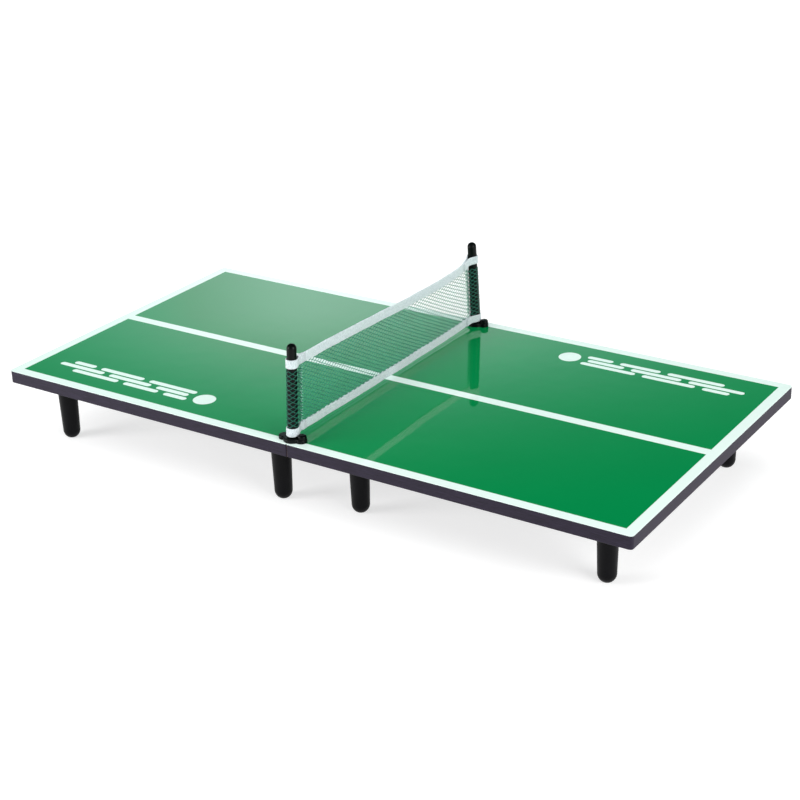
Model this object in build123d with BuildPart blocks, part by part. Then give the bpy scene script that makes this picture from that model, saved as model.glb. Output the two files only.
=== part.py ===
"""Small tabletop ping pong table: two hinged board halves, eight peg legs and a lift-off net.

Row frame: origin on the floor under the middle of the table, +X along the length,
+Y across the width to the back, +Z up. The halves meet in the plane X = 0, under the net.
"""

from build123d import *
import math
import os

# Board
TABLE_LENGTH = 600.0
TABLE_WIDTH = 300.0
TOP_HEIGHT = 66.0
BOARD_THICKNESS = 11.2
LAMINATE_THICKNESS = 0.3
BACKING_THICKNESS = 0.2
BAND_THICKNESS = 0.8
OUTER_CORNER_RADIUS = 3.2
SEAM_CORNER_RADIUS = 1.2
SEAM_GAP = 0.1
SAME_PLACE = 1e-6
BAND_EDGE_ROUND = 0.65
LAMINATE_EDGE_CHAMFER = 0.1

# Legs: the pegs of the two halves stand in different places
LEG_TOP_RADIUS = 8.7
LEG_FOOT_RADIUS = 7.5
LEG_TIP_RADIUS = 4.2
LEG_TIP_HEIGHT = 7.0
LEG_TIP_BULGE = (0.8, -0.6)
LEG_TOP_CHAMFER = 0.4
LEFT_LEG_END_INSET = 37.7
LEFT_LEG_SEAM_INSET = 28.0
LEFT_LEG_SIDE_INSET = 29.2
RIGHT_LEG_END_INSET = 38.6
RIGHT_LEG_SEAM_INSET = 41.1
RIGHT_LEG_SIDE_INSET = 40.2
STUD_RADIUS = 2.0
STUD_IN_LEG = 12.0
STUD_IN_BOARD = 7.0
STUD_CHAMFER = 0.4
INSERT_RADIUS = 3.3
INSERT_BORE_RADIUS = 2.05
INSERT_DEPTH = 8.0
INSERT_FLANGE_RADIUS = 5.0
INSERT_FLANGE_THICKNESS = 0.8

# Hinges screwed under the seam
HINGE_OFFSET = 75.0
HINGE_LENGTH = 30.0
HINGE_LEAF_WIDTH = 18.0
HINGE_LEAF_THICKNESS = 1.0
HINGE_AXIS_DROP = 2.2
KNUCKLE_RADIUS = 2.15
KNUCKLE_COUNT = 5
KNUCKLE_GAP = 0.1
LEAF_SETBACK = 2.7
PIN_RADIUS = 1.1
PIN_CLEARANCE = 0.05
PIN_HEAD_RADIUS = 1.7
PIN_HEAD_LENGTH = 0.8
SCREW_SPACING = 18.0
SCREW_FROM_SEAM = 11.5
SCREW_SHANK_RADIUS = 1.0
SCREW_HEAD_RADIUS = 1.9
SCREW_LENGTH = 8.0
SCREW_SLOT_WIDTH = 0.5
SCREW_SLOT_DEPTH = 0.5
SCREW_SLOT_LENGTH = 2.28
COUNTERSINK_ANGLE = 90
LEAF_CORNER_RADIUS = 2.0

# Net posts, each with a two-lobed foot, a knob on one lobe and a peg that stands in the seam
POST_INSET = 9.6
POST_LEAN = 3.7
POST_FOOT_RADIUS = 4.35
POST_TIP_RADIUS = 3.95
POST_LENGTH = 80.3
PEG_RADIUS = 3.9
PEG_DEPTH = 9.0
PEG_CLEARANCE = 0.05
FOOT_STAND_OFF = 0.05
FOOT_HUB_RADIUS = 7.8
FOOT_LOBE_RADIUS = 4.7
FOOT_LOBE_OFFSET = 8.2
FOOT_HEIGHT = 3.0
FOOT_ROUND = 0.8
KNOB_RADIUS = 3.5
KNOB_OFFSET = 9.2
KNOB_HEIGHT = 6.2
KNOB_ROUND = 1.6

# Net: heights are above the playing surface. Each tape hangs on a line through points given
# as (distance along the width from the middle, height of the tape's middle)
MESH_THICKNESS = 0.8
TAPE_THICKNESS = 1.4
TOP_TAPE_WIDTH = 8.0
TOP_TAPE_LINE = (
    (-133.0, 63.8),
    (-100.0, 63.3),
    (-60.0, 62.4),
    (-20.0, 60.9),
    (20.0, 59.4),
    (60.0, 58.5),
    (100.0, 58.9),
    (133.0, 61.8),
)
TOP_RING_LOW = 60.8
TOP_RING_HIGH = 67.8
BOTTOM_TAPE_WIDTH = 7.6
BOTTOM_TAPE_LINE = ((-137.0, 7.5), (-90.0, 6.7), (0.0, 6.1), (90.0, 6.3), (137.0, 7.5))
BOTTOM_RING_LOW = 4.2
BOTTOM_RING_HIGH = 11.0
RING_RADIUS = 5.4
RING_BORE_CLEARANCE = 0.1
SLEEVE_WALL = 0.5
SLEEVE_CLEARANCE = 0.15
SLEEVE_LOW = 11.9
SLEEVE_HIGH = {"front": 58.6, "back": 57.0}
CLOTH_GAP = 0.2

BOARD_BOTTOM = TOP_HEIGHT - BOARD_THICKNESS
HALF_LENGTH = TABLE_LENGTH / 2
HALF_WIDTH = TABLE_WIDTH / 2
CORE_BOTTOM = BOARD_BOTTOM + BACKING_THICKNESS
CORE_TOP = TOP_HEIGHT - LAMINATE_THICKNESS
HINGE_AXIS_HEIGHT = BOARD_BOTTOM - HINGE_AXIS_DROP
POST_Y = HALF_WIDTH - POST_INSET
DOME_START = POST_LENGTH - POST_TIP_RADIUS
UNDERSIDE = Plane.XY.offset(BOARD_BOTTOM)

SIDES = {"left": -1, "right": 1}
ENDS = {"front": -1, "back": 1}
LEG_INSETS = {
    "left": (LEFT_LEG_END_INSET, LEFT_LEG_SEAM_INSET, LEFT_LEG_SIDE_INSET),
    "right": (RIGHT_LEG_END_INSET, RIGHT_LEG_SEAM_INSET, RIGHT_LEG_SIDE_INSET),
}

os.makedirs("parts", exist_ok=True)


def save(part, name):
    """Labels a finished piece and writes its STEP file."""
    part.label = name
    export_step(part, f"parts/{name}.step")


def leg_places(half):
    """The name and plan position of each leg of one half."""
    end_inset, seam_inset, side_inset = LEG_INSETS[half]
    side = SIDES[half]
    places = {}
    for end_name, end in ENDS.items():
        y = end * (HALF_WIDTH - side_inset)
        places[f"{half}_{end_name}_outer_leg"] = (side * (HALF_LENGTH - end_inset), y)
        places[f"{half}_{end_name}_inner_leg"] = (side * seam_inset, y)
    return places


def screw_places(half):
    """The plan positions of the hinge screws of one half."""
    x = SIDES[half] * SCREW_FROM_SEAM
    steps = (-SCREW_SPACING / 2, SCREW_SPACING / 2)
    return [(x, end * HINGE_OFFSET + step) for end in ENDS.values() for step in steps]


def half_outline(side, inset):
    """One half of the board in plan, less the half-round seats of the net posts.

    Only the three outer edges are inset: the seam edge stays where it is.
    """
    outer_x = side * (HALF_LENGTH - inset)
    outer_y = HALF_WIDTH - inset
    seam_x = side * SEAM_GAP / 2
    with BuildSketch() as outline:
        with BuildLine():
            Polyline(
                (seam_x, -outer_y),
                (outer_x, -outer_y),
                (outer_x, outer_y),
                (seam_x, outer_y),
                close=True,
            )
        make_face()
        by_reach = outline.vertices().group_by(lambda v: abs(v.X))
        fillet(by_reach[-1], radius=OUTER_CORNER_RADIUS - inset)
        seam_corners = outline.vertices().filter_by(lambda v: abs(v.X - seam_x) < SAME_PLACE)
        fillet(seam_corners, radius=SEAM_CORNER_RADIUS)
        with Locations((0, -POST_Y), (0, POST_Y)):
            Circle(PEG_RADIUS + PEG_CLEARANCE, mode=Mode.SUBTRACT)
    return outline.sketch


def inner_field(side):
    """The area inside the edge band, open towards the seam."""
    outer_x = side * (HALF_LENGTH - BAND_THICKNESS)
    outer_y = HALF_WIDTH - BAND_THICKNESS
    beyond_seam = -side * SEAM_CORNER_RADIUS
    with BuildSketch() as field:
        with BuildLine():
            Polyline(
                (beyond_seam, -outer_y),
                (outer_x, -outer_y),
                (outer_x, outer_y),
                (beyond_seam, outer_y),
                close=True,
            )
        make_face()
        outer_corners = field.vertices().group_by(lambda v: abs(v.X))[-1]
        fillet(outer_corners, radius=OUTER_CORNER_RADIUS - BAND_THICKNESS)
    return field.sketch


# ---- The two halves of the board ------------------------------------------------------------

for half, side in SIDES.items():
    outline = half_outline(side, 0)
    field = inner_field(side)
    legs = leg_places(half).values()
    screws = screw_places(half)

    # Fibreboard core, drilled from below for the leg inserts and the hinge screws
    with BuildPart() as core:
        with BuildSketch(Plane.XY.offset(CORE_BOTTOM)):
            add(outline)
            add(field, mode=Mode.INTERSECT)
        extrude(amount=CORE_TOP - CORE_BOTTOM)
        with BuildSketch(UNDERSIDE):
            with Locations(*legs):
                Circle(INSERT_RADIUS)
        extrude(amount=INSERT_DEPTH, mode=Mode.SUBTRACT)
        with BuildSketch(UNDERSIDE):
            with Locations(*legs):
                Circle(INSERT_FLANGE_RADIUS)
        extrude(amount=INSERT_FLANGE_THICKNESS, mode=Mode.SUBTRACT)
        with BuildSketch(UNDERSIDE):
            with Locations(*screws):
                Circle(SCREW_SHANK_RADIUS)
        extrude(amount=SCREW_LENGTH - HINGE_LEAF_THICKNESS, mode=Mode.SUBTRACT)
    save(core.part, f"{half}_board_core")

    # Printed and lacquered top sheet, over the core and the edge band
    with BuildPart() as laminate:
        with BuildSketch(Plane.XY.offset(CORE_TOP)):
            add(outline)
        extrude(amount=LAMINATE_THICKNESS)
        top_face = laminate.faces().sort_by(Axis.Z)[-1]
        chamfer(top_face.outer_wire().edges(), length=LAMINATE_EDGE_CHAMFER)
    save(laminate.part, f"{half}_top_laminate")

    # Backing sheet under the core
    with BuildPart() as backing:
        with BuildSketch(UNDERSIDE):
            add(outline)
            add(field, mode=Mode.INTERSECT)
            with Locations(*legs):
                Circle(INSERT_FLANGE_RADIUS, mode=Mode.SUBTRACT)
            with Locations(*screws):
                Circle(SCREW_SHANK_RADIUS, mode=Mode.SUBTRACT)
        extrude(amount=BACKING_THICKNESS)
    save(backing.part, f"{half}_backing_sheet")

    # Edge band round the three outer sides, its lower edge rounded over
    with BuildPart() as band:
        with BuildSketch(UNDERSIDE):
            add(outline)
            add(field, mode=Mode.SUBTRACT)
        extrude(amount=CORE_TOP - BOARD_BOTTOM)
        lower_edges = band.faces().sort_by(Axis.Z)[0].edges()
        far_x = HALF_LENGTH - BAND_THICKNESS / 2
        far_y = HALF_WIDTH - BAND_THICKNESS / 2
        long_edges = lower_edges.filter_by(lambda e: e.length > HINGE_LENGTH)
        outer_edges = long_edges.filter_by(
            lambda e: abs(e.center().X) > far_x or abs(e.center().Y) > far_y
        )
        corner_edges = lower_edges.filter_by(
            lambda e: e.geom_type == GeomType.CIRCLE
            and abs(e.radius - OUTER_CORNER_RADIUS) < LAMINATE_EDGE_CHAMFER
        )
        fillet(outer_edges + corner_edges, radius=BAND_EDGE_ROUND)
    save(band.part, f"{half}_edge_band")


# ---- Legs, their studs and their threaded inserts -------------------------------------------

for half in SIDES:
    for leg_name, (leg_x, leg_y) in leg_places(half).items():
        leg_plane = Plane(origin=(leg_x, leg_y, 0), x_dir=(1, 0, 0), z_dir=(0, -1, 0))
        with BuildPart() as leg:
            with BuildSketch(leg_plane):
                with BuildLine():
                    tip = (LEG_TIP_RADIUS, 0)
                    foot = (LEG_FOOT_RADIUS, LEG_TIP_HEIGHT)
                    Polyline(
                        foot,
                        (LEG_TOP_RADIUS, BOARD_BOTTOM - LEG_TOP_CHAMFER),
                        (LEG_TOP_RADIUS - LEG_TOP_CHAMFER, BOARD_BOTTOM),
                        (0, BOARD_BOTTOM),
                        (0, 0),
                        tip,
                    )
                    out, down = LEG_TIP_BULGE
                    bulge = ((tip[0] + foot[0]) / 2 + out, LEG_TIP_HEIGHT / 2 + down)
                    ThreePointArc(tip, bulge, foot)
                make_face()
            revolve(axis=Axis((leg_x, leg_y, 0), (0, 0, 1)))
            with Locations((leg_x, leg_y, BOARD_BOTTOM)):
                Hole(radius=STUD_RADIUS, depth=STUD_IN_LEG)
        save(leg.part, leg_name)

    with BuildPart() as studs:
        with BuildSketch(Plane.XY.offset(BOARD_BOTTOM - STUD_IN_LEG)):
            with Locations(*leg_places(half).values()):
                Circle(STUD_RADIUS)
        extrude(amount=STUD_IN_LEG + STUD_IN_BOARD)
        chamfer(studs.edges().group_by(Axis.Z)[-1], length=STUD_CHAMFER)
    save(studs.part, f"{half}_leg_studs")

    with BuildPart() as inserts:
        with BuildSketch(UNDERSIDE):
            with Locations(*leg_places(half).values()):
                Circle(INSERT_RADIUS)
        extrude(amount=INSERT_DEPTH)
        with BuildSketch(UNDERSIDE):
            with Locations(*leg_places(half).values()):
                Circle(INSERT_FLANGE_RADIUS)
        extrude(amount=INSERT_FLANGE_THICKNESS)
        with BuildSketch(UNDERSIDE):
            with Locations(*leg_places(half).values()):
                Circle(INSERT_BORE_RADIUS)
        extrude(amount=INSERT_DEPTH, mode=Mode.SUBTRACT)
    save(inserts.part, f"{half}_leg_inserts")


# ---- Hinges under the seam: two leaves, a pin and their screws ------------------------------

KNUCKLE_PITCH = HINGE_LENGTH / KNUCKLE_COUNT

for end_name, end in ENDS.items():
    hinge_y = end * HINGE_OFFSET
    # Section across the pin: local X runs along the row's X, and the normal along +Y
    section = Plane(origin=(0, hinge_y, HINGE_AXIS_HEIGHT), x_dir=(1, 0, 0), z_dir=(0, -1, 0))

    for half, side in SIDES.items():
        own_knuckles = range(0, KNUCKLE_COUNT, 2) if half == "left" else range(1, KNUCKLE_COUNT, 2)
        bore = PIN_RADIUS if half == "left" else PIN_RADIUS + PIN_CLEARANCE
        leaf_under = Plane.XY.offset(BOARD_BOTTOM - HINGE_LEAF_THICKNESS)
        with BuildPart() as leaf:
            with BuildSketch(leaf_under):
                leaf_mid = side * (LEAF_SETBACK + HINGE_LEAF_WIDTH) / 2
                with Locations((leaf_mid, hinge_y)):
                    Rectangle(HINGE_LEAF_WIDTH - LEAF_SETBACK, HINGE_LENGTH)
            extrude(amount=HINGE_LEAF_THICKNESS)
            free_corners = leaf.edges().filter_by(Axis.Z).group_by(lambda e: abs(e.center().X))[-1]
            fillet(free_corners, radius=LEAF_CORNER_RADIUS)
            for index in own_knuckles:
                start = (index - KNUCKLE_COUNT / 2) * KNUCKLE_PITCH + KNUCKLE_GAP / 2
                knuckle_plane = section.offset(-start)
                with BuildSketch(knuckle_plane):
                    Circle(KNUCKLE_RADIUS)
                    tab_height = HINGE_AXIS_DROP - HINGE_LEAF_THICKNESS / 2
                    with Locations((side * LEAF_SETBACK / 2, tab_height)):
                        Rectangle(LEAF_SETBACK, HINGE_LEAF_THICKNESS)
                extrude(amount=-(KNUCKLE_PITCH - KNUCKLE_GAP))
            with BuildSketch(section):
                Circle(bore)
            extrude(amount=HINGE_LENGTH, both=True, mode=Mode.SUBTRACT)
            own_screws = [p for p in screw_places(half) if abs(p[1] - hinge_y) < HINGE_LENGTH]
            for screw_x, screw_y in own_screws:
                below = Plane(
                    origin=(screw_x, screw_y, BOARD_BOTTOM - HINGE_LEAF_THICKNESS),
                    x_dir=(1, 0, 0),
                    z_dir=(0, 0, -1),
                )
                with Locations(below):
                    CounterSinkHole(
                        radius=SCREW_SHANK_RADIUS,
                        counter_sink_radius=SCREW_HEAD_RADIUS,
                        depth=HINGE_LEAF_THICKNESS,
                        counter_sink_angle=COUNTERSINK_ANGLE,
                    )
        save(leaf.part, f"{end_name}_hinge_{half}_leaf")

    with BuildPart() as pin:
        with BuildSketch(section):
            Circle(PIN_RADIUS)
        extrude(amount=HINGE_LENGTH / 2, both=True)
        for head_side in (-1, 1):
            with BuildSketch(section.offset(head_side * HINGE_LENGTH / 2)):
                Circle(PIN_HEAD_RADIUS)
            extrude(amount=head_side * PIN_HEAD_LENGTH)
        chamfer(pin.edges().group_by(Axis.Y)[0], length=PIN_HEAD_LENGTH / 2)
        chamfer(pin.edges().group_by(Axis.Y)[-1], length=PIN_HEAD_LENGTH / 2)
    save(pin.part, f"{end_name}_hinge_pin")

for half in SIDES:
    head_height = SCREW_HEAD_RADIUS - SCREW_SHANK_RADIUS
    screw_bottom = BOARD_BOTTOM - HINGE_LEAF_THICKNESS
    with BuildPart() as screws:
        for screw_x, screw_y in screw_places(half):
            screw_foot = (screw_x, screw_y, screw_bottom)
            screw_plane = Plane(origin=screw_foot, x_dir=(1, 0, 0), z_dir=(0, -1, 0))
            with BuildSketch(screw_plane):
                with BuildLine():
                    Polyline(
                        (0, 0),
                        (SCREW_HEAD_RADIUS, 0),
                        (SCREW_SHANK_RADIUS, head_height),
                        (SCREW_SHANK_RADIUS, SCREW_LENGTH - 2 * SCREW_SHANK_RADIUS),
                        (0, SCREW_LENGTH),
                        close=True,
                    )
                make_face()
            revolve(axis=Axis((screw_x, screw_y, 0), (0, 0, 1)))
        with BuildSketch(Plane.XY.offset(screw_bottom)):
            with Locations(*screw_places(half)):
                Rectangle(SCREW_SLOT_LENGTH, SCREW_SLOT_WIDTH)
                Rectangle(SCREW_SLOT_WIDTH, SCREW_SLOT_LENGTH)
        extrude(amount=SCREW_SLOT_DEPTH, mode=Mode.SUBTRACT)
    save(screws.part, f"{half}_hinge_screws")


# ---- Net posts, and the cloth round them ----------------------------------------------------


def lean_direction(end):
    """The direction of a post's shaft, which the tight net pulls inwards."""
    lean = math.radians(POST_LEAN)
    return (0, -end * math.sin(lean), math.cos(lean))


def post_section(end):
    """The plane through a post's shaft: local X along the row's X, local Y up the shaft."""
    _, lean_y, lean_z = lean_direction(end)
    return Plane(origin=(0, end * POST_Y, TOP_HEIGHT), x_dir=(1, 0, 0), z_dir=(0, -lean_z, lean_y))


def post_axis(end):
    """The line of a post's shaft."""
    return Axis((0, end * POST_Y, TOP_HEIGHT), lean_direction(end))


def shaft_radius(height):
    """The radius of the tapered shaft at a height up its length, below the dome."""
    return POST_FOOT_RADIUS + (POST_TIP_RADIUS - POST_FOOT_RADIUS) * height / DOME_START


def shaft_band(end, low, high, low_radius, high_radius):
    """The half section of a tapered round body on a post's shaft, between two heights up it."""
    with BuildSketch(post_section(end)) as half_section:
        with BuildLine():
            Polyline((0, low), (low_radius, low), (high_radius, high), (0, high), close=True)
        make_face()
    return half_section.sketch


for end_name, end in ENDS.items():
    post_y = end * POST_Y
    foot_bottom = TOP_HEIGHT + FOOT_STAND_OFF
    with BuildPart() as post:
        # Foot: a hub between two lobes, with a knob on the right one
        with BuildSketch(Plane.XY.offset(foot_bottom)):
            with Locations((-FOOT_LOBE_OFFSET, post_y), (FOOT_LOBE_OFFSET, post_y)):
                Circle(FOOT_LOBE_RADIUS)
            with Locations((0, post_y)):
                Circle(FOOT_HUB_RADIUS)
        extrude(amount=FOOT_HEIGHT)
        fillet(post.edges().group_by(Axis.Z)[-1], radius=FOOT_ROUND)
        with BuildSketch(Plane.XY.offset(foot_bottom + FOOT_HEIGHT / 2)):
            with Locations((KNOB_OFFSET, post_y)):
                Circle(KNOB_RADIUS)
        extrude(amount=KNOB_HEIGHT - FOOT_HEIGHT / 2)
        fillet(post.edges().group_by(Axis.Z)[-1], radius=KNOB_ROUND)
        # Shaft with a domed tip, leaning inwards
        with BuildSketch(post_section(end)):
            with BuildLine():
                shaft_base = FOOT_STAND_OFF + FOOT_HEIGHT / 2
                dome_foot = (POST_TIP_RADIUS, DOME_START)
                shaft_foot = (shaft_radius(shaft_base), shaft_base)
                Polyline((0, POST_LENGTH), (0, shaft_base), shaft_foot, dome_foot)
                CenterArc((0, DOME_START), POST_TIP_RADIUS, 0, 90)
            make_face()
        revolve(axis=post_axis(end))
        # Peg that stands in the seam between the halves
        with BuildSketch(Plane.XY.offset(TOP_HEIGHT - PEG_DEPTH)):
            with Locations((0, post_y)):
                Circle(PEG_RADIUS)
        extrude(amount=PEG_DEPTH + FOOT_HEIGHT / 2)
        chamfer(post.edges().group_by(Axis.Z)[0], length=STUD_CHAMFER)
    save(post.part, f"{end_name}_net_post")

    # The part of the mesh that is sewn into a sleeve round the post
    sleeve_high = SLEEVE_HIGH[end_name]
    inner = [shaft_radius(h) + SLEEVE_CLEARANCE for h in (SLEEVE_LOW, sleeve_high)]
    outer = [radius + SLEEVE_WALL for radius in inner]
    with BuildPart() as sleeve:
        outside = shaft_band(end, SLEEVE_LOW, sleeve_high, *outer)
        inside = shaft_band(end, SLEEVE_LOW, sleeve_high, *inner)
        revolve(outside, axis=post_axis(end))
        revolve(inside, axis=post_axis(end), mode=Mode.SUBTRACT)
    save(sleeve.part, f"{end_name}_net_sleeve")


def ribbon(thickness, line, low_offset, high_offset, high_line=None):
    """The face between two curves that follow tape lines at an offset.

    It stands half the thickness to the left of the net's middle plane, ready to extrude.
    """
    low = [(y, TOP_HEIGHT + height + low_offset) for y, height in line]
    high = [(y, TOP_HEIGHT + height + high_offset) for y, height in high_line or line]
    with BuildSketch(Plane.YZ.offset(-thickness / 2)) as face:
        with BuildLine():
            Spline(*low)
            Spline(*high)
            Line(low[0], high[0])
            Line(low[-1], high[-1])
        make_face()
    return face.sketch


def cut_round_posts(radius):
    """Cuts a cylinder of a radius round each post's shaft."""
    for end in ENDS.values():
        cutter = shaft_band(end, 0, POST_LENGTH, radius, radius)
        revolve(cutter, axis=post_axis(end), mode=Mode.SUBTRACT)


def tape(line, width, ring_low, ring_high):
    """A flat tape from post to post whose ends are sewn into a ring round each post."""
    with BuildPart() as strip:
        extrude(ribbon(TAPE_THICKNESS, line, -width / 2, width / 2), amount=TAPE_THICKNESS)
        for end in ENDS.values():
            ring = shaft_band(end, ring_low, ring_high, RING_RADIUS, RING_RADIUS)
            revolve(ring, axis=post_axis(end))
        cut_round_posts(POST_FOOT_RADIUS + RING_BORE_CLEARANCE)
    return strip.part


top_tape = tape(TOP_TAPE_LINE, TOP_TAPE_WIDTH, TOP_RING_LOW, TOP_RING_HIGH)
save(top_tape, "net_top_tape")
bottom_tape = tape(BOTTOM_TAPE_LINE, BOTTOM_TAPE_WIDTH, BOTTOM_RING_LOW, BOTTOM_RING_HIGH)
save(bottom_tape, "net_bottom_tape")

# Mesh panel between the tapes and the sleeves
with BuildPart() as mesh:
    tape_edges = (BOTTOM_TAPE_WIDTH / 2, -TOP_TAPE_WIDTH / 2)
    panel = ribbon(MESH_THICKNESS, BOTTOM_TAPE_LINE, *tape_edges, high_line=TOP_TAPE_LINE)
    extrude(panel, amount=MESH_THICKNESS)
    cut_round_posts(RING_RADIUS + CLOTH_GAP)
    mesh_solids = mesh.solids().sort_by(SortBy.VOLUME)
save(mesh_solids[-1], "net_mesh")
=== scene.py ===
"""Looks for the small tabletop ping pong table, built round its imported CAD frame.

Everything is in metres, in the part's own frame: origin on the floor under the middle of the
table, +X along the length, +Y across the width to the back, +Z up.
"""

import math

import bmesh
import bpy
from mathutils import Matrix, Vector


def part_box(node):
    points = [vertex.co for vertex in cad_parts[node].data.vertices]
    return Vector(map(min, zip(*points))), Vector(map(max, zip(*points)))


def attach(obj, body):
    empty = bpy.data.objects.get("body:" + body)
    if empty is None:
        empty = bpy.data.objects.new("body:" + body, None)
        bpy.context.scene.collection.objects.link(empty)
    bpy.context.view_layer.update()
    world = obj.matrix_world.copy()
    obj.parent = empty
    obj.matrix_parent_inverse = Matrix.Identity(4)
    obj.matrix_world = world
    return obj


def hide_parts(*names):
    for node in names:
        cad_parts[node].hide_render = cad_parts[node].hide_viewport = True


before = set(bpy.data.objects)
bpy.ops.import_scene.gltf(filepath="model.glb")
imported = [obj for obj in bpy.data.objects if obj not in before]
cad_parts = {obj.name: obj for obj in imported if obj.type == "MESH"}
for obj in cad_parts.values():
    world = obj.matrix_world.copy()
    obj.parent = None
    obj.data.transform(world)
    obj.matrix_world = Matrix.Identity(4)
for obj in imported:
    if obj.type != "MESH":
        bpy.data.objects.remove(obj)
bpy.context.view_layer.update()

MM = 0.001
UP = Vector((0, 0, 1))
OUT_OF_NET = Vector((1, 0, 0))
ENDS = {"front": -1, "back": 1}

# The playing surface: half its length and width, and its height over the floor
BOARD_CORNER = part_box("right_top_laminate")[1]
HALF_LENGTH = BOARD_CORNER.x
HALF_WIDTH = BOARD_CORNER.y
TOP = BOARD_CORNER.z


# ---- Node helpers ---------------------------------------------------------------------------


class Finish:
    """A node material being written: each call adds to it and gives back what it made."""

    def __init__(self, name, owner=bpy.data.materials, coordinates="Object"):
        self.material = owner.new(name)
        self.material.use_nodes = True
        self.tree = self.material.node_tree
        self.tree.nodes.clear()
        self.place = self.add("ShaderNodeTexCoord", out=coordinates)

    def add(self, kind, out=0, inputs=None, **settings):
        """Adds one node, with its sockets given by name or number."""
        made = self.tree.nodes.new(kind)
        for key, value in settings.items():
            setattr(made, key, value)
        for key, value in (inputs or {}).items():
            if isinstance(value, bpy.types.NodeSocket):
                self.tree.links.new(value, made.inputs[key])
            else:
                made.inputs[key].default_value = value
        return None if out is None else made.outputs[out]

    def math(self, operation, *values):
        return self.add("ShaderNodeMath", inputs=dict(enumerate(values)), operation=operation)

    def step(self, value, low, high, to_low=0.0, to_high=1.0):
        """Runs smoothly from to_low to to_high as value goes from low to high."""
        inputs = {0: value, 1: low, 2: high, 3: to_low, 4: to_high}
        return self.add("ShaderNodeMapRange", inputs=inputs, interpolation_type="SMOOTHSTEP")

    def blend(self, amount, first, second):
        """A colour that runs from the first to the second as amount goes from 0 to 1."""
        inputs = {0: amount, 6: colour(first), 7: colour(second)}
        return self.add("ShaderNodeMix", out=2, inputs=inputs, data_type="RGBA")

    def noise(self, scale, detail=2.0, roughness=0.5):
        """Noise at one scale, or at a scale for each axis."""
        vector = self.place
        if isinstance(scale, tuple):
            vector = self.add("ShaderNodeMapping", inputs={"Vector": vector, "Scale": scale})
            scale = 1.0
        inputs = {"Vector": vector, "Scale": scale, "Detail": detail, "Roughness": roughness}
        return self.add("ShaderNodeTexNoise", out="Fac", inputs=inputs)

    def bump(self, height, strength, distance, normal=None):
        inputs = {"Strength": strength, "Distance": distance, "Height": height}
        if normal is not None:
            inputs["Normal"] = normal
        return self.add("ShaderNodeBump", inputs=inputs)

    def surface(self, **inputs):
        """The principled shader, with its sockets given by name, joined to the output."""
        named = {}
        for key, value in inputs.items():
            named[key.replace("_", " ").title().replace("Ior", "IOR")] = value
        named["Base Color"] = colour(named["Base Color"])
        shader = self.add("ShaderNodeBsdfPrincipled", inputs=named)
        self.add("ShaderNodeOutputMaterial", out=None, inputs={"Surface": shader})
        return self.material


def colour(value):
    """A colour socket's value from three numbers, or an output left as it is."""
    return (*value, 1.0) if isinstance(value, tuple) else value


def srgb(red, green, blue):
    """A linear colour from 0 to 255 screen values."""
    shares = (red / 255, green / 255, blue / 255)
    return tuple(c / 12.92 if c <= 0.04045 else ((c + 0.055) / 1.055) ** 2.4 for c in shares)


# ---- Printed top ----------------------------------------------------------------------------

BORDER_WIDTH = 9.07 * MM
CENTRE_LINE_WIDTH = 9.5 * MM
PRINT_BLUR = 0.12 * MM
GREEN_LOW, GREEN_HIGH = (0.0, 0.213, 0.055), (0.0, 0.222, 0.057)
WHITE_LOW, WHITE_HIGH = (0.73, 0.87, 0.82), (0.75, 0.89, 0.84)

# The mark's middle on the right half, and its size
MARK_X = 186.5 * MM
MARK_Y = 114.3 * MM
MARK_LENGTH = 171 * MM
MARK_HEIGHT = 19.5 * MM

# It is a ball with the streaks of its flight. Each streak is (start, end, row): its ends as shares
# of the mark's length, and its row, counted from the middle one
STREAK_RADIUS = 0.135 * MARK_HEIGHT
STREAK_SPACING = 0.365 * MARK_HEIGHT
STREAKS = (
    (0.00, 0.29, 0),
    (0.33, 0.60, 0),
    (0.64, 0.84, 0),
    (0.06, 0.20, 1),
    (0.24, 0.52, 1),
    (0.56, 0.86, 1),
    (0.12, 0.42, -1),
    (0.46, 0.68, -1),
    (0.72, 0.86, -1),
)


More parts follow.
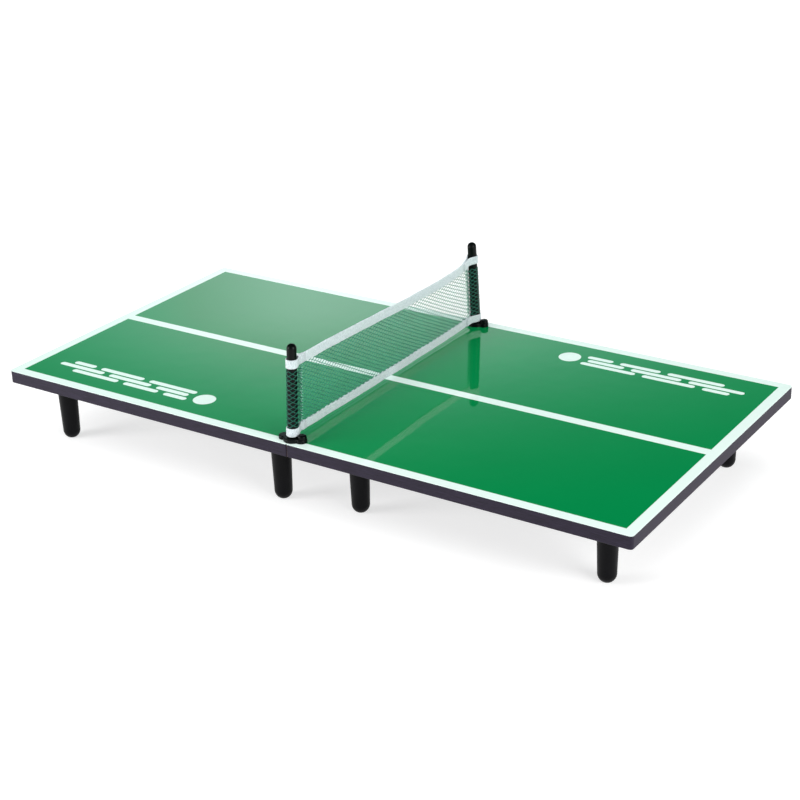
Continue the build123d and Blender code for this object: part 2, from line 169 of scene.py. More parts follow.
def printed_top():
    """Glossy green print with white border, centre line and two marks, under clear lacquer."""
    f = Finish("green_print")
    x = f.add("ShaderNodeSeparateXYZ", out="X", inputs={0: f.place})
    y = f.add("ShaderNodeSeparateXYZ", out="Y", inputs={0: f.place})
    reach_x = f.math("ABSOLUTE", x)
    reach_y = f.math("ABSOLUTE", y)

    def inside(distance):
        """One where the signed distance is negative, with a printed edge's blur."""
        return f.step(distance, -PRINT_BLUR, PRINT_BLUR, 1.0, 0.0)

    def distance_from(away_x, away_y, radius):
        """The signed distance from a circle, from the offsets to its centre."""
        squares = f.math("ADD", f.math("POWER", away_x, 2), f.math("POWER", away_y, 2))
        return f.math("SUBTRACT", f.math("SQRT", squares), radius)

    distances = [
        f.math("SUBTRACT", HALF_LENGTH - BORDER_WIDTH, reach_x),
        f.math("SUBTRACT", HALF_WIDTH - BORDER_WIDTH, reach_y),
        f.math("SUBTRACT", reach_y, CENTRE_LINE_WIDTH / 2),
    ]

    # The two marks are one drawing, turned half round for the far half
    mark_x = f.math("SUBTRACT", MARK_X, reach_x)
    mark_y = f.math("SUBTRACT", MARK_Y, f.math("MULTIPLY", y, f.math("SIGN", x)))
    ball_x = f.math("SUBTRACT", mark_x, (MARK_LENGTH - MARK_HEIGHT) / 2)
    distances.append(distance_from(ball_x, mark_y, MARK_HEIGHT / 2))
    for start, end, row in STREAKS:
        low = (start - 0.5) * MARK_LENGTH + STREAK_RADIUS
        high = (end - 0.5) * MARK_LENGTH - STREAK_RADIUS
        nearest = f.add("ShaderNodeClamp", inputs={0: mark_x, 1: low, 2: high})
        away_x = f.math("SUBTRACT", mark_x, nearest)
        away_y = f.math("SUBTRACT", mark_y, row * STREAK_SPACING)
        distances.append(distance_from(away_x, away_y, STREAK_RADIUS))
    white = inside(distances[0])
    for distance in distances[1:]:
        white = f.math("MAXIMUM", white, inside(distance))

    mottle = f.step(f.noise(14, detail=3), 0.25, 0.75)
    green = f.blend(mottle, GREEN_LOW, GREEN_HIGH)
    paint = f.blend(mottle, WHITE_LOW, WHITE_HIGH)
    fine = f.noise(900, detail=2)
    ripple = f.bump(f.noise(60, detail=1), strength=0.05, distance=0.4 * MM)
    lacquer = f.bump(fine, strength=0.008, distance=0.05 * MM, normal=ripple)
    return f.surface(
        base_color=f.blend(white, green, paint),
        roughness=f.step(fine, 0.2, 0.8, 0.42, 0.5),
        specular_ior_level=0.0,
        coat_weight=1.0,
        coat_roughness=0.04,
        coat_ior=1.5,
        normal=lacquer,
        coat_normal=lacquer,
    )


# ---- The rest of the board ------------------------------------------------------------------


def edge_film():
    """Dark wood-grain film on the edge: long fine streaks along each side."""
    f = Finish("edge_band")
    grain = f.noise((60, 60, 2600), detail=5, roughness=0.65)
    pores = f.noise((350, 350, 4200), detail=3, roughness=0.6)
    tone = f.blend(f.step(grain, 0.35, 0.65), srgb(28, 24, 34), srgb(45, 39, 56))
    tone = f.blend(f.step(pores, 0.52, 0.66, 0.0, 0.35), tone, srgb(24, 20, 28))
    return f.surface(
        base_color=tone,
        roughness=f.step(grain, 0.3, 0.7, 0.42, 0.56),
        specular_ior_level=0.15,
        normal=f.bump(pores, strength=0.25, distance=0.1 * MM),
    )


def fibreboard():
    """Raw pressed wood fibre."""
    f = Finish("fibreboard")
    fibre = f.noise((1500, 1500, 2600), detail=5, roughness=0.7)
    patch = f.noise(90, detail=3)
    tone = f.blend(f.step(fibre, 0.3, 0.7), srgb(128, 92, 58), srgb(178, 140, 98))
    tone = f.blend(f.step(patch, 0.35, 0.65, 0.0, 0.3), tone, srgb(116, 82, 50))
    return f.surface(
        base_color=tone,
        roughness=0.9,
        normal=f.bump(fibre, strength=0.5, distance=0.1 * MM),
    )


def backing_paper():
    """Dark melamine paper under the board, with a faint linen grain."""
    f = Finish("backing")
    threads = {"Vector": f.place, "Scale": 900.0, "Distortion": 1.5, "Detail": 1.0}
    weave_x = f.add("ShaderNodeTexWave", out="Fac", inputs=threads, bands_direction="X")
    weave_y = f.add("ShaderNodeTexWave", out="Fac", inputs=threads, bands_direction="Y")
    weave = f.math("MULTIPLY", weave_x, weave_y)
    patch = f.noise(25, detail=4)
    tone = f.blend(f.step(patch, 0.3, 0.7), srgb(52, 48, 54), srgb(66, 62, 68))
    tone = f.blend(f.math("MULTIPLY", weave, 0.25), tone, srgb(84, 80, 88))
    return f.surface(
        base_color=tone,
        roughness=f.step(patch, 0.3, 0.7, 0.5, 0.62),
        normal=f.bump(weave, strength=0.3, distance=0.08 * MM),
    )


def moulded_black(name, tone_low, tone_high, roughness, gloss):
    """Black moulded plastic with a fine satin texture."""
    f = Finish(name)
    fine = f.noise(2600, detail=2)
    broad = f.noise(120, detail=3)
    return f.surface(
        base_color=f.blend(f.step(broad, 0.3, 0.7), tone_low, tone_high),
        roughness=f.step(broad, 0.25, 0.75, roughness - 0.05, roughness + 0.07),
        specular_ior_level=gloss,
        normal=f.bump(fine, strength=0.2, distance=0.04 * MM),
    )


def metal(name, tone_low, tone_high, roughness, brushing):
    """Plated or machined metal, with fine marks that run round it or along it."""
    f = Finish(name)
    marks = f.noise(brushing, detail=4, roughness=0.7)
    return f.surface(
        base_color=f.blend(f.step(marks, 0.3, 0.7), tone_low, tone_high),
        metallic=1.0,
        roughness=f.step(marks, 0.25, 0.75, roughness - 0.08, roughness + 0.1),
        normal=f.bump(marks, strength=0.15, distance=0.03 * MM),
    )


# The finish of each CAD node, by the end of its name
FINISHES = {
    "top_laminate": printed_top(),
    "board_core": fibreboard(),
    "edge_band": edge_film(),
    "backing_sheet": backing_paper(),
    "leg": moulded_black(
        "black_leg",
        (0.0010, 0.0010, 0.0016),
        (0.0018, 0.0018, 0.0026),
        roughness=0.4,
        gloss=0.1,
    ),
    "net_post": moulded_black(
        "black_post",
        (0.0012, 0.0022, 0.0021),
        (0.0020, 0.0032, 0.0031),
        roughness=0.36,
        gloss=0.12,
    ),
    "leg_studs": metal(
        "stud_steel",
        (0.50, 0.50, 0.52),
        (0.66, 0.66, 0.67),
        roughness=0.34,
        brushing=(300, 300, 5000),
    ),
    "leg_inserts": metal(
        "insert_brass",
        (0.62, 0.45, 0.20),
        (0.78, 0.58, 0.28),
        roughness=0.36,
        brushing=(2500, 2500, 600),
    ),
    "leaf": metal(
        "hinge_steel",
        (0.52, 0.53, 0.55),
        (0.70, 0.70, 0.71),
        roughness=0.30,
        brushing=(4200, 260, 900),
    ),
    "hinge_pin": metal(
        "hinge_pin_steel",
        (0.50, 0.50, 0.52),
        (0.68, 0.68, 0.69),
        roughness=0.30,
        brushing=(3000, 300, 3000),
    ),
    "hinge_screws": metal(
        "screw_steel",
        (0.48, 0.48, 0.50),
        (0.70, 0.70, 0.71),
        roughness=0.30,
        brushing=(2500, 2500, 2500),
    ),
}

for node_name, cad_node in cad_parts.items():
    for ending, finish in FINISHES.items():
        if node_name.endswith(ending):
            cad_node.data.materials.clear()
            cad_node.data.materials.append(finish)


# ---- Net: measures --------------------------------------------------------------------------

# All heights here are over the playing surface
POST_Y = 140.4 * MM
POST_LEAN = math.tan(math.radians(3.7))
POST_FOOT_RADIUS = 4.35 * MM
POST_TIP_RADIUS = 3.95 * MM
DOME_START = 76.35 * MM

# Each tape's middle, as (distance along Y, height) in mm
TOP_TAPE_WIDTH = 8.0 * MM
TOP_TAPE_LINE = (
    (-133, 63.8),
    (-100, 63.3),
    (-60, 62.4),
    (-20, 60.9),
    (20, 59.4),
    (60, 58.5),
    (100, 58.9),
    (133, 61.8),
)
BOTTOM_TAPE_WIDTH = 7.6 * MM
BOTTOM_TAPE_LINE = ((-137, 7.5), (-90, 6.7), (0, 6.1), (90, 6.3), (137, 7.5))
TAPE_HALF_THICKNESS = 0.65 * MM
TAPE_LAYER = 0.38 * MM
TAPE_STEPS = 110

# The ring that a tape makes round a post: its height and its width
TOP_RING = (64.3 * MM, 7.0 * MM)
BOTTOM_RING = (7.6 * MM, 6.8 * MM)
RING_HALF_THICKNESS = 0.42 * MM
RING_SLACK = 0.12 * MM
RING_STEPS = 40

# How far from a post's axis its loop comes together on the tape, and where it ends, sewn down
LOOP_START = 8.2 * MM
LAP_END = 16 * MM
LAP = LAP_END - LOOP_START
LOOP_SPREAD = TAPE_HALF_THICKNESS + RING_HALF_THICKNESS

# The rows of stitches lie at these shares of a tape's half width
STITCH_ROWS = (0.72, 0.18)
STITCH_PITCH = 3.0 * MM
STITCH_LENGTH = 2.1 * MM
STITCH_BOW = 0.13 * MM
STITCH_SINK = 0.06 * MM
LAP_STITCH_PITCH = 1.6 * MM
LAP_STITCH_BOW = 0.08 * MM
THREAD_RADIUS = 0.13 * MM

# The knitting: a row's cells, the rows from tape to tape, and the height they cover
CELL_WIDTH = 6.25 * MM
ROWS = 29
PANEL_LOW = 11 * MM
PANEL_RISE = 45 * MM
STRAND_RADIUS = 0.27 * MM
STRAND_SIDES = 6
KNOT_INSET = 0.55 * STRAND_RADIUS
HEM_TUCK = 1.2 * MM

SLEEVE_CELL_WIDTH = 7.0 * MM
SLEEVE_ROWS = 24
SLEEVE_LOW = 11.9 * MM
SLEEVE_HIGH = {"front": 58.6 * MM, "back": 57.0 * MM}
SLEEVE_SLACK = 0.1 * MM

# The zigzag seam of a sleeve: its distance from the post's axis, and how far it passes the netting
SEAM_REACH = 12.0 * MM
SEAM_BELOW = 0.4 * MM
SEAM_ABOVE = 0.6 * MM
SEAM_SWING = 1.1 * MM
SEAM_RISE = 0.55 * MM
SEAM_FACE = 0.62 * MM
SEAM_THREAD_RADIUS = 0.2 * MM

# How steeply a knitted strand crosses from knot to knot, and the turns of a cell where it needs
# points: where its level knots end, and the middles of its slopes
WAVE_STEEPNESS = 1.22
WAVE_TURNS = (0.045, 0.25, 0.455, 0.545, 0.75, 0.955)


def height_on(line, y):
    """The height at y on a smooth line through (distance, height) points in mm."""
    points = [(a * MM, b * MM) for a, b in line]
    points = [points[0]] + points + [points[-1]]
    y = min(max(y, points[0][0]), points[-1][0])
    for before, start, end, after in zip(points, points[1:], points[2:], points[3:]):
        if y <= end[0]:
            break
    span = end[0] - start[0]
    share = (y - start[0]) / span
    slope_in = (end[1] - before[1]) / (end[0] - before[0]) * span
    slope_out = (after[1] - start[1]) / (after[0] - start[0]) * span
    cube, square = share**3, share**2
    return (
        (2 * cube - 3 * square + 1) * start[1]
        + (cube - 2 * square + share) * slope_in
        + (3 * square - 2 * cube) * end[1]
        + (cube - square) * slope_out
    )


def post_y(end, height):
    """How far along Y a post's axis is at a height."""
    return end * (POST_Y - height * POST_LEAN)


def post_radius(height):
    return POST_FOOT_RADIUS + (POST_TIP_RADIUS - POST_FOOT_RADIUS) * height / DOME_START


# ---- Net: mesh helpers ----------------------------------------------------------------------


class Pile:
    """Vertices and faces of one piece, gathered tube by tube."""

    def __init__(self):
        self.points, self.faces, self.along, self.across = [], [], [], []

    def sweep(self, frames, section):
        """Sweeps a closed section of (side, up) offsets through frames of (centre, side, up)."""
        count = len(section)
        first = len(self.points)
        travelled, last = 0.0, frames[0][0]
        for centre, side, up in frames:
            travelled += (centre - last).length
            last = centre
            for side_offset, up_offset in section:
                self.points.append(centre + side * side_offset + up * up_offset)
                self.along.append(travelled)
                self.across.append(up_offset)
        for ring in range(len(frames) - 1):
            low = first + ring * count
            high = low + count
            for index in range(count):
                after = (index + 1) % count
                self.faces.append((low + index, low + after, high + after, high + index))
        self.faces.append(tuple(range(first + count - 1, first - 1, -1)))
        final = first + (len(frames) - 1) * count
        self.faces.append(tuple(range(final, final + count)))

    def piece(self, name, material):
        """The pile as one object that rides with the net."""
        mesh = bpy.data.meshes.new(name)
        mesh.from_pydata(self.points, [], self.faces)
        for label, values in (("along", self.along), ("across", self.across)):
            mesh.attributes.new(label, "FLOAT", "POINT").data.foreach_set("value", values)
        mesh.materials.append(material)
        mesh.shade_smooth()
        form = bmesh.new()
        form.from_mesh(mesh)
        bmesh.ops.recalc_face_normals(form, faces=form.faces)
        form.to_mesh(mesh)
        form.free()
        made = bpy.data.objects.new(name, mesh)
        bpy.context.scene.collection.objects.link(made)
        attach(made, "net_set")
        return made


def round_section(radius, sides):
    angles = [2 * math.pi * (index + 0.5) / sides for index in range(sides)]
    return [(radius * math.cos(a), radius * math.sin(a)) for a in angles]


def frames_along(points, sides=None):
    """Frames through points: up is square to the run and to the side given for each point.

    Without sides, the side is the direction out of the net.
    """
    sides = sides or [OUT_OF_NET] * len(points)
    frames = []
    for index, (point, side) in enumerate(zip(points, sides)):
        ahead = points[min(index + 1, len(points) - 1)] - points[max(index - 1, 0)]
        up = side.cross(ahead).normalized()
        frames.append((point, ahead.cross(up).normalized(), up))
    return frames


def teardrop(reach, radius, spread):
    """A loop round a post in plan, as a function of the distance travelled, and its length.

    It starts and ends on the net's side of the post at a reach from the axis and a spread
    from the net's plane, and touches the circle between. It gives (towards the net, out of
    its plane) and the outward direction.
    """
    distance = math.hypot(reach, spread)
    edge = math.sqrt(distance**2 - radius**2)
    touch = math.atan2(spread, reach) + math.acos(radius / distance)
    touch_in, touch_out = radius * math.cos(touch), radius * math.sin(touch)
    length = 2 * edge + (2 * math.pi - 2 * touch) * radius

    def at(travelled):
        if edge <= travelled <= length - edge:
            angle = touch + (travelled - edge) / radius
            outward = (math.cos(angle), math.sin(angle))
            return (radius * outward[0], radius * outward[1]), outward
        mirror = 1 if travelled < edge else -1
        share = min(travelled, length - travelled) / edge
        inward = reach + (touch_in - reach) * share
        out = mirror * (spread + (touch_out - spread) * share)
        return (inward, out), (math.cos(touch), mirror * math.sin(touch))

    return at, length


# ---- Net: knitting --------------------------------------------------------------------------


def wave(turn):
    """A knitted strand's rise and fall over one cell: level at the knots, straight between them."""
    ramp = 4 * abs(turn % 1.0 - 0.5) - 1
    return max(-1.0, min(1.0, ramp * WAVE_STEEPNESS))


def wave_stops(start, end, cell):
    """The places along a strand where it needs a point, from start to end."""
    stops = []
    for index in range(math.floor(start / cell) - 1, math.ceil(end / cell) + 1):
        stops += [(index + turn) * cell for turn in WAVE_TURNS]
    return [start] + [s for s in stops if start + STRAND_RADIUS < s < end - STRAND_RADIUS] + [end]


def unevenness(row, place):
    """A small, fixed wander that keeps hand-drawn regularity out of the knitting."""
    slow = 0.07 * MM * math.sin(row * 2.4 + place * 310)
    fast = 0.05 * MM * math.sin(row * 5.1 - place * 830)
    return slow + fast


def row_side(row):
    """Which way a row starts: each is the mirror of the one below."""
    return 1 if row % 2 else -1


def panel_height(row, y):
    """A row's height at y, between the hems of the two tapes."""
    low = height_on(BOTTOM_TAPE_LINE, y) + BOTTOM_TAPE_WIDTH / 2 - HEM_TUCK
    high = height_on(TOP_TAPE_LINE, y) - TOP_TAPE_WIDTH / 2 + HEM_TUCK
    share = (row + 0.5) / ROWS
    step = (high - low) / ROWS
    swing = row_side(row) * wave(y / CELL_WIDTH) * (step / 2 - KNOT_INSET)
    return low + (high - low) * share + swing + unevenness(row, y)


def net_panel(material):
    """The mesh between the tapes: wavy knitted rows from seam to seam."""
    pile = Pile()
    section = round_section(STRAND_RADIUS, STRAND_SIDES)
    for row in range(ROWS):
        level = PANEL_LOW + (row + 0.5) / ROWS * PANEL_RISE
        reach = post_y(1, level) - SEAM_REACH
        points = []
        for y in wave_stops(-reach, reach, CELL_WIDTH):
            out = 0.6 * unevenness(row, 0.7 * y)
            points.append(Vector((out, y, TOP + panel_height(row, y))))
        pile.sweep(frames_along(points), section)
    piece = pile.piece("net_panel", material)
    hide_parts("net_mesh")


def net_sleeve(end_name, material):
    """The end of the mesh, folded round a post and sewn back to itself."""
    end = ENDS[end_name]
    pile = Pile()
    section = round_section(STRAND_RADIUS, STRAND_SIDES)
    width = SLEEVE_HIGH[end_name] - SLEEVE_LOW
    step = width / SLEEVE_ROWS
    for row in range(SLEEVE_ROWS):
        middle = SLEEVE_LOW + step * (row + 0.5)
        radius = post_radius(middle) + STRAND_RADIUS + SLEEVE_SLACK
        at, length = teardrop(SEAM_REACH, radius, STRAND_RADIUS)
        cell = length / round(length / SLEEVE_CELL_WIDTH)
        corners = wave_stops(0, length, cell)
        halfway = [(a + b) / 2 for a, b in zip(corners, corners[1:])]
        points, sides = [], []
        for travelled in sorted(corners + halfway):
            swing = row_side(row) * wave(travelled / cell) * (step / 2 - KNOT_INSET)
            height = middle + swing + unevenness(row + 7, travelled)
            (inward, out), (normal_in, normal_out) = at(travelled)
            points.append(Vector((out, post_y(end, height) - end * inward, TOP + height)))
            sides.append(Vector((normal_out, -end * normal_in, 0)))
        pile.sweep(frames_along(points, sides), section)
    piece = pile.piece(f"{end_name}_sleeve_netting", material)
    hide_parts(f"{end_name}_net_sleeve")


def seam_stitches(end_name, material):
    """The zigzag thread that closes a sleeve along the post."""
    end = ENDS[end_name]
    points = []
    height = SLEEVE_LOW - SEAM_BELOW
    turn = 0
    while height < SLEEVE_HIGH[end_name] + SEAM_ABOVE:
        out = SEAM_FACE if turn % 2 else -SEAM_FACE
        inward = SEAM_REACH + (SEAM_SWING if turn % 4 < 2 else -SEAM_SWING)
        points.append(Vector((out, post_y(end, height) - end * inward, TOP + height)))
        height += SEAM_RISE
        turn += 1
    pile = Pile()
    pile.sweep(frames_along(points), round_section(SEAM_THREAD_RADIUS, 6))
    seam = pile.piece(f"{end_name}_sleeve_seam", material)


# ---- Net: tapes -----------------------------------------------------------------------------


def folded_section(half_height, fold_up):
    """A tape folded over the mesh's edge: two layers joined by a round fold, ribbed outside."""
    outer, inner = TAPE_HALF_THICKNESS, TAPE_HALF_THICKNESS - TAPE_LAYER
    rise = (-0.97, -0.80, -0.62, -0.40, -0.18, 0.04, 0.26, 0.48, 0.66)
    ribs = (0.0, 0.10, -0.02, 0.06, -0.03, 0.05, -0.03, 0.04, 0.0)
    right = [(outer + rib * MM, r * half_height) for r, rib in zip(rise, ribs)]
    for degrees in (10, 35, 65, 90):
        a = math.radians(degrees)
        right.append((outer * math.cos(a), half_height - outer + outer * math.sin(a)))
    outside = right + [(-x, z) for x, z in reversed(right[:-1])]
    inner_side = [(inner, z) for z in (-0.97 * half_height, 0, half_height - outer - 0.1 * MM)]
    inner_top = [(0, half_height - TAPE_LAYER)]
    inside = [(-x, z) for x, z in inner_side] + inner_top + list(reversed(inner_side))
    section = outside + inside
    return section if fold_up else [(x, -z) for x, z in section]


def band_section(half_height, half_thickness):
    """A tape laid flat and doubled, with ribs on its outer face and rounded edges."""
    rise = (-0.92, -0.72, -0.5, -0.26, 0.0, 0.26, 0.5, 0.72, 0.92)
    ribs = (0.0, 0.07, -0.05, 0.06, -0.05, 0.06, -0.05, 0.07, 0.0)
    outer = [(half_thickness + rib * MM, r * half_height) for r, rib in zip(rise, ribs)]
    top = [(half_thickness * 0.6, half_height), (-half_thickness * 0.6, half_height)]
    inner = [(-half_thickness, 0.92 * half_height), (-half_thickness, -0.92 * half_height)]
    bottom = [(-half_thickness * 0.6, -half_height), (half_thickness * 0.6, -half_height)]
    return outer + top + inner + bottom


def tape_point(line, y, out=0.0, rise=0.0):
    """A point of a tape at y, with the slight wander of hand-sewn cloth."""
    sway = 0.16 * MM * math.sin(y * 95) + 0.09 * MM * math.sin(y * 231 + 1)
    lift = 0.09 * MM * math.sin(y * 140 + 2)
    return Vector((sway + out, y, TOP + height_on(line, y) + lift + rise))


def running_stitches(pile, line, width, fold_up, reach):
    """Two rows of stitches on each face of a tape, through both layers."""
    section = round_section(THREAD_RADIUS, 5)
    for share in STITCH_ROWS:
        rise = (-share if fold_up else share) * width / 2
        for side in (-1, 1):
            y = -reach + STITCH_PITCH
            while y < reach - STITCH_PITCH:
                run = []
                for part in range(5):
                    bow = STITCH_BOW * math.sin(math.pi * part / 4) - STITCH_SINK
                    out = side * (TAPE_HALF_THICKNESS + bow)
                    run.append(tape_point(line, y + STITCH_LENGTH * part / 4, out, rise))
                pile.sweep(frames_along(run), section)
                y += STITCH_PITCH


def ring_radius(ring_height):
    """How far the middle of a ring's cloth is from the post's axis."""
    return post_radius(ring_height) + RING_SLACK + RING_HALF_THICKNESS


def lap_share(ring_height, inward):
    """How far a place is from the ring, at 0, to the end of the lap, at 1."""
    radius = ring_radius(ring_height)
    return max(0.0, min(1.0, (inward - radius) / (LAP_END - radius)))


def ring_point(line, ring_height, end, inward, out, rise=0.0):
    """A point of a loop, which leaves its ring's height for the tape's as it goes inward."""
    y = post_y(end, ring_height) - end * inward
    share = lap_share(ring_height, inward)
    height = ring_height + (height_on(line, y) - ring_height) * share**1.5
    return Vector((out, y, TOP + height + rise))


def ring_frames(line, ring_height, end, at, loop):
    """Frames from the end of one lap round the post to the end of the other."""
    stops = [-LAP, -LAP / 2]
    stops += [loop * index / RING_STEPS for index in range(RING_STEPS + 1)]
    stops += [loop + LAP / 2, loop + LAP]
    leaning = Vector((0, -end * POST_LEAN, 1)).normalized()
    frames = []
    for travelled in stops:
        (inward, out), (normal_in, normal_out) = at(min(max(travelled, 0), loop))
        beyond = max(-travelled, travelled - loop, 0)
        if beyond:
            inward += beyond
            normal_in, normal_out = 0.0, 1.0 if travelled < 0 else -1.0
        centre = ring_point(line, ring_height, end, inward, out)
        side = Vector((normal_out, -end * normal_in, 0)).normalized()
        up = leaning.lerp(UP, lap_share(ring_height, inward)).normalized()
        frames.append((centre, side, up))
    return frames


def lap_stitches(pile, line, ring, end):
    """A box of stitches with one diagonal on each face, where a loop is sewn down."""
    section = round_section(THREAD_RADIUS, 5)
    ring_height, ring_width = ring
    near, far = LOOP_START + 1.0 * MM, LAP_END - 1.2 * MM
    half = ring_width / 2 - 1.1 * MM
    corners = ((near, -half), (far, -half), (far, half), (near, half), (near, -half), (far, half))
    for side in (-1, 1):
        out = side * (LOOP_SPREAD + RING_HALF_THICKNESS + 0.03 * MM)
        run = [ring_point(line, ring_height, end, inward, out, rise) for inward, rise in corners]
        for a, b in zip(run, run[1:]):
            count = max(2, round((b - a).length / LAP_STITCH_PITCH))
            for part in range(count):
                low, high = a.lerp(b, (part + 0.12) / count), a.lerp(b, (part + 0.88) / count)
                crest = low.lerp(high, 0.5) + OUT_OF_NET * side * LAP_STITCH_BOW
                pile.sweep(frames_along([low, crest, high]), section)


def net_tape(name, node, line, width, ring, fold_up, cloth, thread):
    """A white tape folded over one edge of the mesh, with its ends looped round the posts."""
    pile, stitches = Pile(), Pile()
    reach = post_y(1, height_on(line, 0)) - LOOP_START
    places = [-reach + 2 * reach * index / TAPE_STEPS for index in range(TAPE_STEPS + 1)]
    frames = [(tape_point(line, y), OUT_OF_NET, UP) for y in places]
    pile.sweep(frames, folded_section(width / 2, fold_up))
    running_stitches(stitches, line, width, fold_up, reach)

    ring_height, ring_width = ring
    at, loop = teardrop(LOOP_START, ring_radius(ring_height), LOOP_SPREAD)
    for end in ENDS.values():
        frames = ring_frames(line, ring_height, end, at, loop)
        pile.sweep(frames, band_section(ring_width / 2, RING_HALF_THICKNESS))
        lap_stitches(stitches, line, ring, end)

    piece = pile.piece(name, cloth)
    sewing = stitches.piece(f"{name}_stitches", thread)
    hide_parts(node)


# ---- Net: finishes --------------------------------------------------------------------------


def net_yarn(name, shade, light, painted_highlight):
    """Dark teal knitted nylon, with a painted highlight in lighter streaks along its twist."""
    f = Finish(name)
    twist = f.noise((3000, 3000, 5200), detail=3)
    patch = f.noise(70, detail=2)
    tone = f.blend(f.step(patch, 0.3, 0.7), shade, light)
    # Lighter streaks along the twist: a painted highlight on the yarn
    tone = f.blend(f.step(twist, 0.35, 0.65, 0.0, 0.35), tone, painted_highlight)
    return f.surface(
        base_color=tone,
        roughness=f.step(twist, 0.3, 0.7, 0.45, 0.62),
        specular_ior_level=0.3,
        sheen_weight=0.1,
        sheen_roughness=0.5,
        normal=f.bump(twist, strength=0.4, distance=0.06 * MM),
    )


def tape_cloth():
    """White ribbed tape: fine picks across it, ribs along it, with painted shade in the weave."""
    f = Finish("net_tape")
    along = f.add("ShaderNodeAttribute", out="Fac", attribute_name="along")
    across = f.add("ShaderNodeAttribute", out="Fac", attribute_name="across")
    pick = f.math("SINE", f.math("MULTIPLY", along, 2 * math.pi / (0.62 * MM)))
    rib = f.math("SINE", f.math("MULTIPLY", across, 2 * math.pi / (0.9 * MM)))
    weave = f.math("MULTIPLY_ADD", f.math("MULTIPLY", pick, rib), 0.5, 0.5)
    fuzz = f.noise(1000, detail=3)
    soil = f.noise(60, detail=3)
    # Darker where the weave is low, which is where its bump sinks: painted shade in the weave's
    # hollows
    tone = f.blend(weave, srgb(184, 198, 200), srgb(230, 236, 242))
    # The fuzz patches turn a darker green: painted shade among the fibres
    tone = f.blend(f.step(fuzz, 0.4, 0.64, 0.0, 0.55), tone, srgb(150, 168, 172))
    tone = f.blend(f.step(soil, 0.4, 0.8, 0.0, 0.35), tone, srgb(190, 208, 202))
    height = f.math("ADD", weave, f.math("MULTIPLY", fuzz, 0.6))
    return f.surface(
        base_color=tone,
        roughness=f.step(fuzz, 0.2, 0.8, 0.82, 0.95),
        sheen_weight=0.15,
        sheen_roughness=0.6,
        normal=f.bump(height, strength=0.55, distance=0.12 * MM),
    )


def sewing_thread(name, low, high):
    """Twisted thread."""
    f = Finish(name)
    twist = f.noise((5000, 5000, 5000), detail=2)
    return f.surface(
        base_color=f.blend(f.step(twist, 0.35, 0.65), low, high),
        roughness=f.step(twist, 0.3, 0.7, 0.6, 0.8),
        normal=f.bump(twist, strength=0.3, distance=0.05 * MM),
    )


yarn = net_yarn("net_mesh", srgb(10, 104, 80), srgb(22, 124, 98), srgb(70, 160, 140))
# The sleeve netting is the same yarn in darker tones: painted shade for the netting over the black
# post, which gets no light through from behind
shaded_sleeve_yarn = net_yarn("sleeve_mesh_painted_shade", srgb(0, 78, 60), srgb(8, 92, 74), srgb(36, 128, 108))
cloth = tape_cloth()
thread = sewing_thread("tape_thread", srgb(194, 200, 204), srgb(222, 225, 228))
seam_thread = sewing_thread("seam_thread", srgb(120, 190, 168), srgb(180, 226, 208))

net_panel(yarn)
for end_name in ENDS:
    net_sleeve(end_name, shaded_sleeve_yarn)
    seam_stitches(end_name, seam_thread)
net_tape(
    "top_tape_cloth",
    "net_top_tape",
    TOP_TAPE_LINE,
    TOP_TAPE_WIDTH,
    TOP_RING,
    fold_up=True,
    cloth=cloth,
    thread=thread,
)
net_tape(
    "bottom_tape_cloth",
    "net_bottom_tape",
    BOTTOM_TAPE_LINE,
    BOTTOM_TAPE_WIDTH,
    BOTTOM_RING,
    fold_up=False,
    cloth=cloth,
    thread=thread,
)


# ---- Floor, light and camera ----------------------------------------------------------------

FLOOR_REACH = 8.0
FLOOR_DROP = 0.3 * MM
FLOOR_GLOW = 0.66
BACKDROP_RADIUS = 7.6
BACKDROP_HEIGHT = 14.0
BACKDROP_GLOW = 1.05

# The low panel, in degrees: the middle of its upper edge, below which it doesn't fade, and how far
# its glow spreads as it fades to each side and upwards
PANEL_AROUND = 126.85
PANEL_ABOVE = 21.05
PANEL_SPREAD_LEFT = 4.2
PANEL_SPREAD_RIGHT = 8.65
PANEL_SPREAD_UP = 1.7
PANEL_SHOULDER = 1.5

# The panel's radiance and the room's, and the panel's colour where it is faint and where it is full
PANEL_GLOW = 1.58
ROOM_GLOW = 0.004
GLOW_FAINT = (0.85, 2.1, 1.8)
GLOW_FULL = (0.97, 1.14, 1.15)

CAMERA_PLACE = Vector((0.7522, -1.1100, 0.6474))
CAMERA_AIM = Vector((0.0319, -0.0349, 0.066))
CAMERA_ROLL = -1.80
CAMERA_LENS = 77.34
CAMERA_SENSOR = 36.0


def stage_piece(name, form, material):
    """A bmesh made into an object that is part of the studio."""
    mesh = bpy.data.meshes.new(name)
    form.to_mesh(mesh)
    form.free()
    mesh.materials.append(material)
    made = bpy.data.objects.new(name, mesh)
    bpy.context.scene.collection.objects.link(made)
    return made


def make_floor():
    """A plain white floor that reads as the page the object stands on."""
    f = Finish("studio_floor")
    material = f.surface(
        base_color=f.blend(f.noise(0.8, detail=1), (0.49, 0.49, 0.49), (0.51, 0.51, 0.51)),
        roughness=0.9,
        emission_color=(1.0, 1.0, 1.0, 1.0),
        emission_strength=FLOOR_GLOW,
    )
    form = bmesh.new()
    bmesh.ops.create_grid(form, x_segments=8, y_segments=8, size=FLOOR_REACH)
    floor = stage_piece("studio_floor", form, material)
    floor.location.z = -FLOOR_DROP


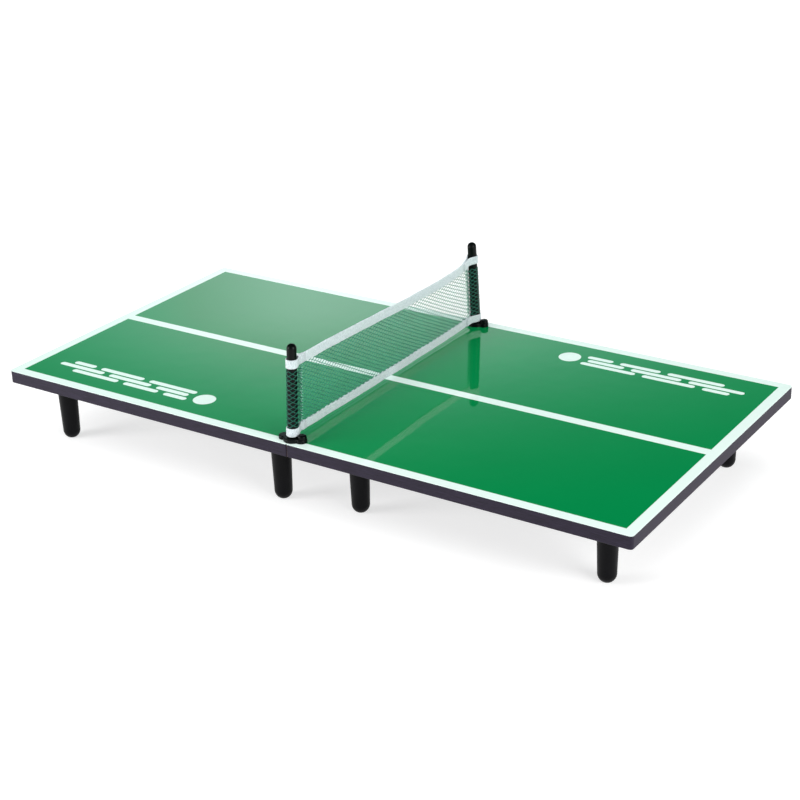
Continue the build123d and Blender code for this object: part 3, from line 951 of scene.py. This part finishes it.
def make_backdrop():
    """A white wall all round, far off, that only the camera sees."""
    f = Finish("studio_wall")
    tone = f.blend(f.noise(0.3, detail=1), (0.98, 0.98, 0.98), (1.0, 1.0, 1.0))
    shade = f.add("ShaderNodeEmission", inputs={"Color": tone, "Strength": BACKDROP_GLOW})
    f.add("ShaderNodeOutputMaterial", out=None, inputs={"Surface": shade})
    form = bmesh.new()
    bmesh.ops.create_cone(
        form,
        segments=96,
        radius1=BACKDROP_RADIUS,
        radius2=BACKDROP_RADIUS,
        depth=BACKDROP_HEIGHT,
    )
    backdrop = stage_piece("studio_wall", form, f.material)
    for rays in ("diffuse", "glossy", "transmission", "volume_scatter", "shadow"):
        setattr(backdrop, f"visible_{rays}", False)


def make_world():
    """Dim studio surroundings with one soft low panel, whose gleam lies across the top."""
    f = Finish("studio", bpy.data.worlds, "Generated")
    bpy.context.scene.world = f.material
    around, above = math.radians(PANEL_AROUND), math.radians(PANEL_ABOVE)
    level_x, level_y = math.cos(around), math.sin(around)
    sideways = (-level_y, level_x, 0)
    upward = (-level_x * math.sin(above), -level_y * math.sin(above), math.cos(above))
    towards = (level_x * math.cos(above), level_y * math.cos(above), math.sin(above))

    def reach(direction):
        """How far the view runs in a direction."""
        inputs = {0: f.place, 1: direction}
        return f.add("ShaderNodeVectorMath", out="Value", inputs=inputs, operation="DOT_PRODUCT")

    def spread_out(distance, spread):
        """A distance in spreads, counted on its positive side only."""
        return f.math("DIVIDE", f.math("MAXIMUM", distance, 0.0), math.radians(spread))

    aside = reach(sideways)
    left = spread_out(aside, PANEL_SPREAD_LEFT)
    right = spread_out(f.math("MULTIPLY", aside, -1.0), PANEL_SPREAD_RIGHT)
    across = f.math("POWER", f.math("ADD", left, right), PANEL_SHOULDER)
    up = f.math("POWER", spread_out(reach(upward), PANEL_SPREAD_UP), PANEL_SHOULDER)
    falloff = f.math("EXPONENT", f.math("MULTIPLY", f.math("ADD", across, up), -0.5))
    facing = f.math("GREATER_THAN", reach(towards), 0.0)
    glow = f.math("MULTIPLY", f.math("MULTIPLY", falloff, facing), PANEL_GLOW)
    shade = f.blend(f.math("MINIMUM", glow, 1.0), GLOW_FAINT, GLOW_FULL)
    level = f.math("ADD", glow, ROOM_GLOW)
    background = f.add("ShaderNodeBackground", inputs={"Color": shade, "Strength": level})
    f.add("ShaderNodeOutputWorld", out=None, inputs={"Surface": background})


def area_light(name, place, aim, width, height, power):
    """A rectangular soft light at a place, facing a point."""
    light = bpy.data.lights.new(name, "AREA")
    light.shape = "RECTANGLE"
    light.size = width
    light.size_y = height
    light.energy = power
    lamp = bpy.data.objects.new(name, light)
    lamp.location = place
    lamp.rotation_euler = (Vector(aim) - Vector(place)).to_track_quat("-Z", "Y").to_euler()
    bpy.context.scene.collection.objects.link(lamp)


def sky_light(name, towards, width, strength):
    """An even light from a broad patch of the ceiling: its direction, its width in degrees."""
    light = bpy.data.lights.new(name, "SUN")
    light.angle = math.radians(width)
    light.energy = strength
    lamp = bpy.data.objects.new(name, light)
    lamp.rotation_euler = (-Vector(towards)).to_track_quat("-Z", "Y").to_euler()
    lamp.visible_glossy = False
    bpy.context.scene.collection.objects.link(lamp)


def make_camera():
    """A camera at the photograph's viewing angle."""
    lens = bpy.data.cameras.new("camera")
    lens.lens = CAMERA_LENS
    lens.sensor_width = CAMERA_SENSOR
    camera = bpy.data.objects.new("camera", lens)
    bpy.context.scene.collection.objects.link(camera)
    facing = (CAMERA_AIM - CAMERA_PLACE).to_track_quat("-Z", "Y").to_matrix().to_4x4()
    roll = Matrix.Rotation(math.radians(CAMERA_ROLL), 4, "Z")
    camera.matrix_world = Matrix.Translation(CAMERA_PLACE) @ facing @ roll
    bpy.context.scene.camera = camera


make_floor()
make_backdrop()
make_world()
sky_light("overhead", towards=(-0.12, -0.12, 1.0), width=75, strength=2.35)
area_light("right_bank", place=(2.2, -0.5, 0.9), aim=(0, 0, 0.06), width=1.5, height=1.3, power=50)
area_light(
    "front_fill",
    place=(-1.05, -1.05, 0.4),
    aim=(-0.25, -0.1, 0.05),
    width=0.7,
    height=0.5,
    power=17,
)
make_camera()
bpy.context.scene.view_settings.view_transform = "Standard"
